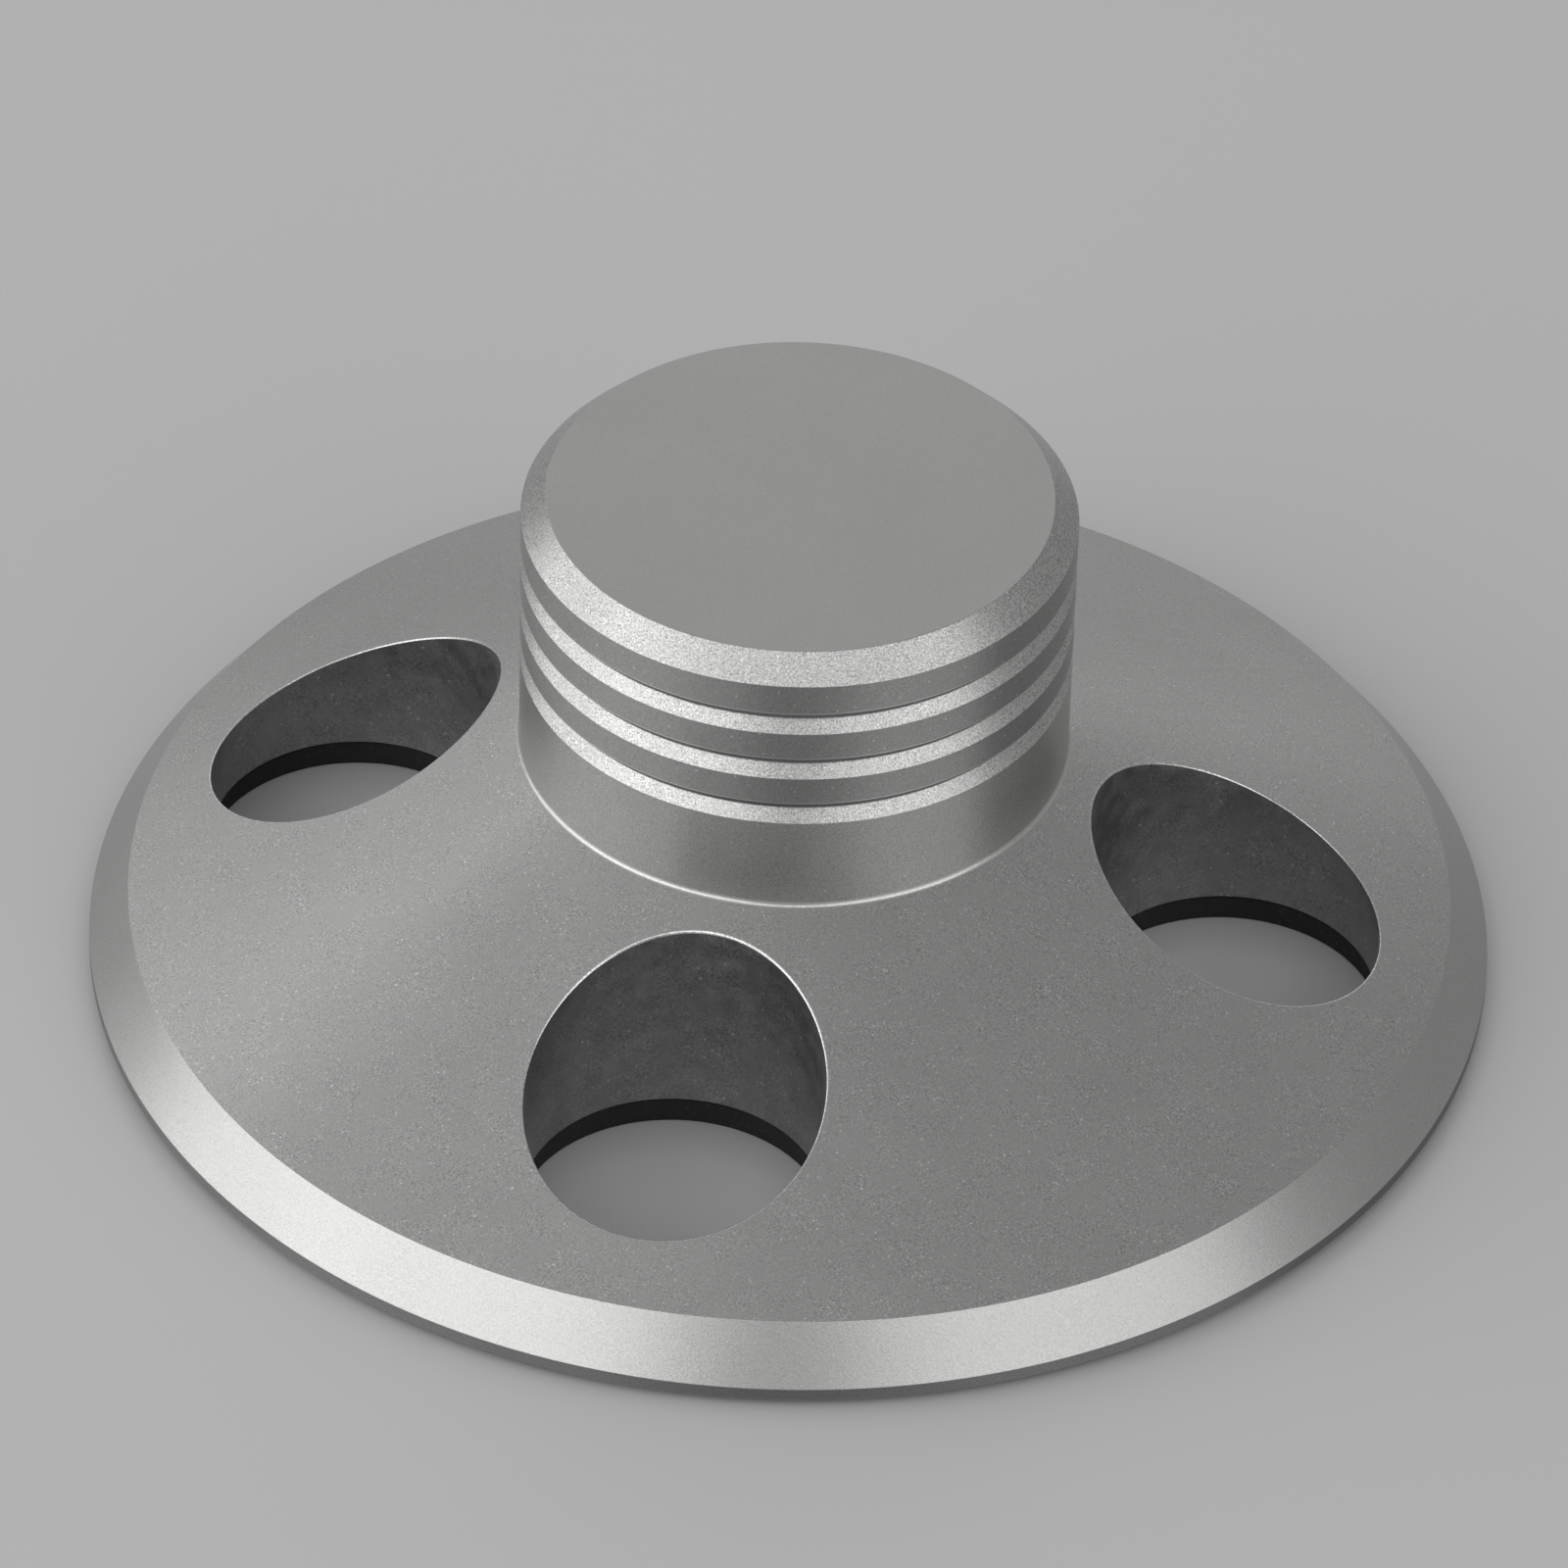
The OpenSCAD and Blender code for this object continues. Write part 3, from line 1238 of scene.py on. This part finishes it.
@dataclass(frozen=True)
class PhotoCamera:
    """The photograph's view: a long lens that looks down on the weight.

    Args:
        lens: Focal length in millimetres.
        sensor: Width of the sensor in millimetres.
        azimuth: Direction from the weight to the camera in degrees.
        elevation: Height of the camera above the floor in degrees.
        distance: Distance from the point that the camera circles.
        aim_z: Height of that point, which is the top of the rim's wall.
        pan: Turn to the left in degrees, after looking at that point.
        tilt: Turn upwards in degrees, after the pan.
        roll: Turn about the line of sight in degrees, after the tilt.
        clip_start: Nearest distance that it shows.
        clip_end: Farthest distance that it shows.
    """

    lens: float = 226.96
    sensor: float = 36.0
    azimuth: float = -76.6
    elevation: float = 39.773
    distance: float = 566.4 * MM
    aim_z: float = 1.35 * MM
    pan: float = 0.049
    tilt: float = 0.771
    roll: float = -1.59
    clip_start: float = 0.01
    clip_end: float = 20.0

    def build(self) -> None:
        """Adds the camera and makes it the scene's own."""
        away = direction(self.azimuth, self.elevation)
        forward = -away
        right, up = level_axes(forward)
        pan, tilt, roll = (math.radians(a) for a in (self.pan, self.tilt, self.roll))
        forward, right = turned_about(up, pan, forward), turned_about(up, pan, right)
        forward, up = turned_about(right, tilt, forward), turned_about(right, tilt, up)
        right, up = turned_about(forward, roll, right), turned_about(forward, roll, up)
        data = bpy.data.cameras.new("photo_camera")
        data.lens = self.lens
        data.sensor_width = self.sensor
        data.clip_start = self.clip_start
        data.clip_end = self.clip_end
        camera = added("photo_camera", data)
        camera.matrix_world = axes_matrix(right, up, forward)
        camera.location = away * self.distance + np.array([0.0, 0.0, self.aim_z])
        bpy.context.scene.camera = camera


@dataclass(frozen=True)
class Studio:
    """Pale floor, soft lights and a pale room round the weight.

    Args:
        floor_side: Side of the floor.
        floor_color: Colour of the floor, the same in red, green and blue.
        floor_roughness: Roughness of the floor.
        room: Brightness of the room, the same all round.
        lights: The soft lights.
    """

    floor_side: float = 6.0
    floor_color: float = 0.45
    floor_roughness: float = 0.3
    room: float = 0.43
    lights: tuple[SoftLight, ...] = (
        SoftLight("left_front_softbox", -48.0, 33.0, 1.04, 0.62, 1.8),
        SoftLight("left_softbox", -98.0, 26.0, 0.8, 0.6, 1.28),
        SoftLight("low_left_softbox", -75.0, 9.0, 1.2, 0.28, 1.2),
        SoftLight("right_softbox", 46.0, 36.0, 1.0, 0.52, 1.4),
        SoftLight("low_right_softbox", 50.0, 9.0, 0.9, 0.28, 1.16),
        SoftLight("high_left_softbox", -90.0, 66.0, 0.75, 0.6, 0.2),
        SoftLight("overhead_softbox", 0.0, 58.0, 0.5, 0.3, 1.5),
        SoftLight("back_softbox", -160.0, 28.0, 2.2, 0.7, 0.385),
    )

    def build(self, camera_azimuth: float) -> None:
        """Adds the floor, the room and the lights.

        Args:
            camera_azimuth: Azimuth of the camera in degrees.
        """
        self.build_floor()
        self.build_room()
        for light in self.lights:
            light.build(camera_azimuth)
        bpy.context.scene.view_settings.view_transform = "Standard"

    def build_floor(self) -> None:
        """Adds the plain floor at height 0, which is no part of the object."""
        half = self.floor_side / 2
        mesh = bpy.data.meshes.new("floor")
        corners = [(-half, -half, 0), (half, -half, 0), (half, half, 0), (-half, half, 0)]
        mesh.from_pydata(corners, [], [(0, 1, 2, 3)])
        material, tree, shader = new_material("pale_floor")
        color = (self.floor_color, self.floor_color, self.floor_color, 1.0)
        feed(tree, shader, {"Base Color": color, "Roughness": self.floor_roughness})
        mesh.materials.append(material)
        added("floor", mesh)

    def build_room(self) -> None:
        """Adds a plain room that is equally bright on all sides."""
        world = bpy.data.worlds.new("room")
        world.use_nodes = True
        bpy.context.scene.world = world
        background = world.node_tree.nodes["Background"]
        feed(world.node_tree, background, {"Color": (1.0, 1.0, 1.0, 1.0), "Strength": self.room})


def main() -> None:
    """Builds the camera, the studio, the finishes and the two pieces in order."""
    logging.basicConfig(level=logging.INFO, format="%(name)s: %(message)s")
    camera = PhotoCamera()
    camera.build()
    Studio().build(camera.azimuth)
    groups = EffectGroups(blast_grain_group(), cloud_group(), edge_light_group())
    body = WeightBody()
    pad = BasePad(body)
    pieces = [body.build(metal_finishes(groups)), pad.build(rubber_finish(groups))]
    for piece in pieces:
        mesh = piece.data
        log.info("%s: %d points, %d faces", piece.name, len(mesh.vertices), len(mesh.polygons))


if __name__ == "__main__":
    main()
